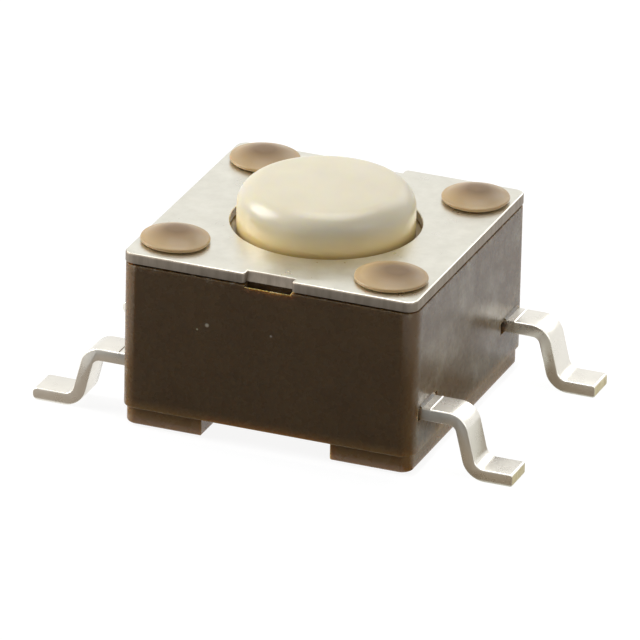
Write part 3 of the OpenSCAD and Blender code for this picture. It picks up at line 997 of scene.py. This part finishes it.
# %% The floor and the world
FLOOR_R = 600
GROUND_Z = -0.004
FLOOR_SHADE = (0.14, 0.14, 0.14)
FLOOR_GLOW = 0.9
FLOOR_BOUNCE = 0.35
SKY_FILL = 0.08


def mirrored_or_seen(tree):
    """1 for camera, glossy and transmission rays, and 0 for the rest."""
    rays = tree.nodes.new("ShaderNodeLightPath")
    total = rays.outputs["Is Camera Ray"]
    for name in ("Is Glossy Ray", "Is Transmission Ray"):
        most = tree.nodes.new("ShaderNodeMath")
        most.operation = "MAXIMUM"
        tree.links.new(total, most.inputs[0])
        tree.links.new(rays.outputs[name], most.inputs[1])
        total = most.outputs[0]
    return total


def laid_down(name, bm, shade, glow):
    """Makes a flat drawing a part of the stage: matt, face up, and glowing in its own tint."""
    made = show(name, bm)
    if made.data.polygons[0].normal.z < 0:
        made.data.flip_normals()
    tint = [value / shade[0] for value in shade]
    matt = Finish(name, Base_Color=(*shade, 1), Roughness=1, Specular_IOR_Level=0,
                  Emission_Color=(*tint, 1), Emission_Strength=glow)
    made.data.materials.append(matt.material)
    return made, matt


bm = bmesh.new()
bmesh.ops.create_circle(bm, cap_ends=True, radius=FLOOR_R, segments=64,
                        matrix=Matrix.Translation((0, 0, GROUND_Z)))
pale = laid_down("floor", bm, FLOOR_SHADE, FLOOR_GLOW)[1]
floor_glow = pale.span(mirrored_or_seen(pale.tree), FLOOR_BOUNCE, FLOOR_GLOW)
pale.link(floor_glow, pale.shader.inputs["Emission Strength"])

world = bpy.data.worlds.new("white_ground")
bpy.context.scene.world = world
world.use_nodes = True
sky = world.node_tree.nodes["Background"]
sky.inputs["Color"].default_value = (1, 1, 1, 1)
fill = world.node_tree.nodes.new("ShaderNodeMapRange")
fill.inputs["To Min"].default_value = SKY_FILL
world.node_tree.links.new(mirrored_or_seen(world.node_tree), fill.inputs["Value"])
world.node_tree.links.new(fill.outputs["Result"], sky.inputs["Strength"])

# %% [markdown]
# A photographer lays cards round a shiny thing to choose what it mirrors. Here a
# dark card lies in front and keeps the housing's front dark, two paler ones lie at
# the right for its side wall, and small ones lie beside the terminals. The camera
# doesn't see the cards, and they cast no shadow.

# %% The cards
CARDS = {
    "dark_card": {"x": (-4.6, 14), "y": (-40, -3.2), "z": -0.002, "slant": 0.387,
                  "shade": (0.14, 0.14, 0.14), "glow": 0},
    "grey_card": {"x": (3.02, 40), "y": (-3.2, 3), "z": -0.002, "slant": 0,
                  "shade": (0.12, 0.12, 0.11), "glow": 0.56},
    "light_card": {"x": (3.02, 40), "y": (3, 40), "z": -0.002, "slant": 0,
                   "shade": (0.12, 0.12, 0.12), "glow": 0.86},
    "front_shade": {"x": (2.9, 5.6), "y": (-5.3, -2.64), "z": -0.001, "slant": 0,
                    "shade": (0.17, 0.14, 0.105), "glow": 0.13},
    "back_shade": {"x": (3.4, 5.3), "y": (-0.9, 1.86), "z": -0.001, "slant": 0,
                   "shade": (0.17, 0.14, 0.105), "glow": 0.15},
    "left_shade": {"x": (-6.4, -3.2), "y": (-5.3, -2.64), "z": -0.001, "slant": 0,
                   "shade": (0.16, 0.14, 0.12), "glow": 0.2},
}
for name, card in CARDS.items():
    bm = bmesh.new()
    bmesh.ops.create_grid(bm, x_segments=1, y_segments=1, size=0.5)
    low, high = (Vector(pair) for pair in zip(card["x"], card["y"]))
    bmesh.ops.scale(bm, vec=(high.x - low.x, high.y - low.y, 1), verts=bm.verts)
    bmesh.ops.translate(bm, vec=((low.x + high.x) / 2, (low.y + high.y) / 2, card["z"]), verts=bm.verts)
    for vert in bm.verts:
        vert.co.x += card["slant"] * (vert.co.y + BODY_X)
    made = laid_down(name, bm, card["shade"], card["glow"])[0]
    made.visible_camera = False
    made.visible_shadow = False

# %% [markdown]
# Most of the light comes from four soft lamps: above, at the left, at the right and
# behind. The left one is the strongest and draws the highlight on the button. Each
# level is how bright the lamp makes a white surface that faces it, so a lamp can be
# moved back or made larger without changing how much light it gives.

# %% The lamps
LAMPS = {
    "above": {"turn": 180, "rise": 78, "distance": 220, "size": 150, "level": 0.6},
    "right": {"turn": 75, "rise": 30, "distance": 200, "size": 110, "level": 0.19},
    "left": {"turn": -82, "rise": 32, "distance": 180, "size": 100, "level": 1.04},
    "behind": {"turn": 165, "rise": 30, "distance": 220, "size": 120, "level": 0.2},
}
for name, lamp in LAMPS.items():
    turn = math.radians(lamp["turn"])
    rise = math.radians(lamp["rise"])
    away = Vector((math.sin(turn) * math.cos(rise), -math.cos(turn) * math.cos(rise), math.sin(rise)))
    light = bpy.data.lights.new("lamp_" + name, "AREA")
    light.size = lamp["size"] * MM
    light.energy = lamp["level"] * (math.pi * lamp["distance"] * MM) ** 2
    holder = bpy.data.objects.new("lamp_" + name, light)
    bpy.context.scene.collection.objects.link(holder)
    holder.matrix_world = (Matrix.Translation(away * lamp["distance"] * MM)
                           @ away.to_track_quat("Z", "Y").to_matrix().to_4x4())
    print("lamp", name, "gives", lamp["level"])

# %% [markdown]
# Blender's usual view bends colours the way film does. A product picture on white
# needs them straight, so the standard view is used.

# %% The view
bpy.context.scene.view_settings.view_transform = "Standard"
print("colours are shown as", bpy.context.scene.view_settings.view_transform)
